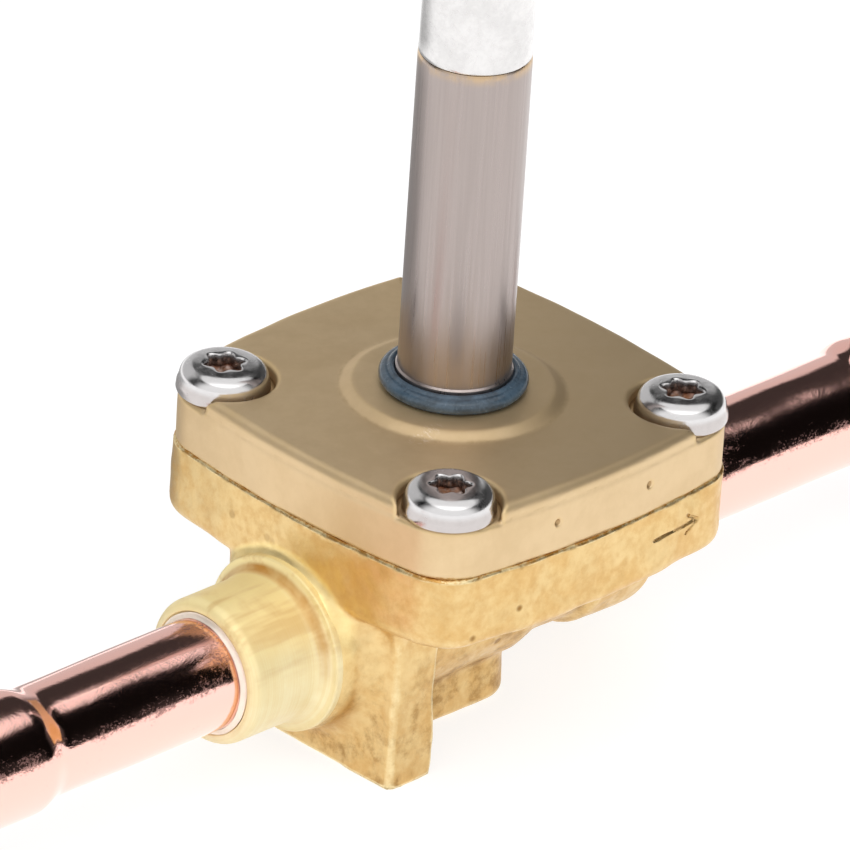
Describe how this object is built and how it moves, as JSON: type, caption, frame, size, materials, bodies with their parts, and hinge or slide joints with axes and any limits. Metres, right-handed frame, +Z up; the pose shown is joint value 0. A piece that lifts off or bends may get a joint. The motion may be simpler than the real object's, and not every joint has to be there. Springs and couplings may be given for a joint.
{
  "type": "refrigeration solenoid valve",
  "caption": "Brass servo solenoid valve with a bolted square cover, an upright armature tube for a clip-on coil and copper solder stubs in line, for opening and closing a refrigerant pipe.",
  "frame": {"origin": "on the underside of the foot, straight below the point where the armature tube's axis meets the pipe axis", "axes": "+X along the pipe axis towards the outlet, +Z up along the armature tube, +Y across the pipe"},
  "size_m": [0.152, 0.0492, 0.0908],
  "materials": {
    "forged_brass": "satin, forged and lightly mottled",
    "olive_brass": "matte, olive tinted",
    "stainless_screw": "polished stainless",
    "gasket_sheet": "pressed fibre",
    "copper": "bright drawn copper",
    "braze": "cast braze fillet",
    "diaphragm_film": "moulded fluoropolymer film",
    "plate_steel": "turned stainless",
    "turned_brass": "turned",
    "seal_resin": "fluoropolymer",
    "tube_steel": "drawn stainless, satin",
    "core_steel": "turned ferritic stainless",
    "armature_steel": "ground ferritic stainless",
    "spring_wire": "drawn spring wire",
    "ring_rubber": "blue grey, slightly glossy",
    "gasket_aluminium": "stamped"
  },
  "bodies": {
    "valve": {"valve_body": "forged_brass", "cover": "olive_brass", "cover_screws": "stainless_screw", "cover_gasket": "gasket_sheet", "inlet_tube": "copper", "outlet_tube": "copper", "inlet_braze": "braze", "outlet_braze": "braze", "diaphragm": "diaphragm_film", "armature_tube": "tube_steel", "fixed_core": "core_steel", "shading_ring": "copper", "coil_o_ring": "ring_rubber", "tube_gasket": "gasket_aluminium", "tube_retainer": "turned_brass", "armature_spring": "spring_wire"},
    "plunger": {"armature": "armature_steel", "pilot_seal": "seal_resin"},
    "servo": {"support_plate": "plate_steel", "diaphragm_hub": "turned_brass", "hub_nut": "plate_steel", "pilot_nozzle": "plate_steel", "main_seal": "seal_resin", "seal_retainer": "plate_steel"}
  },
  "joints": [
    {"name": "armature_lift", "type": "slide", "parent": "valve", "child": "plunger", "axis": [0, 0, 1], "range_m": [0, 0.003], "stiffness_N_per_m": 300, "springref_m": -0.008, "deforming": ["armature_spring"]},
    {"name": "diaphragm_lift", "type": "slide", "parent": "valve", "child": "servo", "axis": [0, 0, 1], "range_m": [0, 0.0021], "deforming": ["diaphragm"]}
  ],
  "couplings": [
    {"joint": "diaphragm_lift", "follows": "armature_lift", "ratio": 0.7}
  ]
}
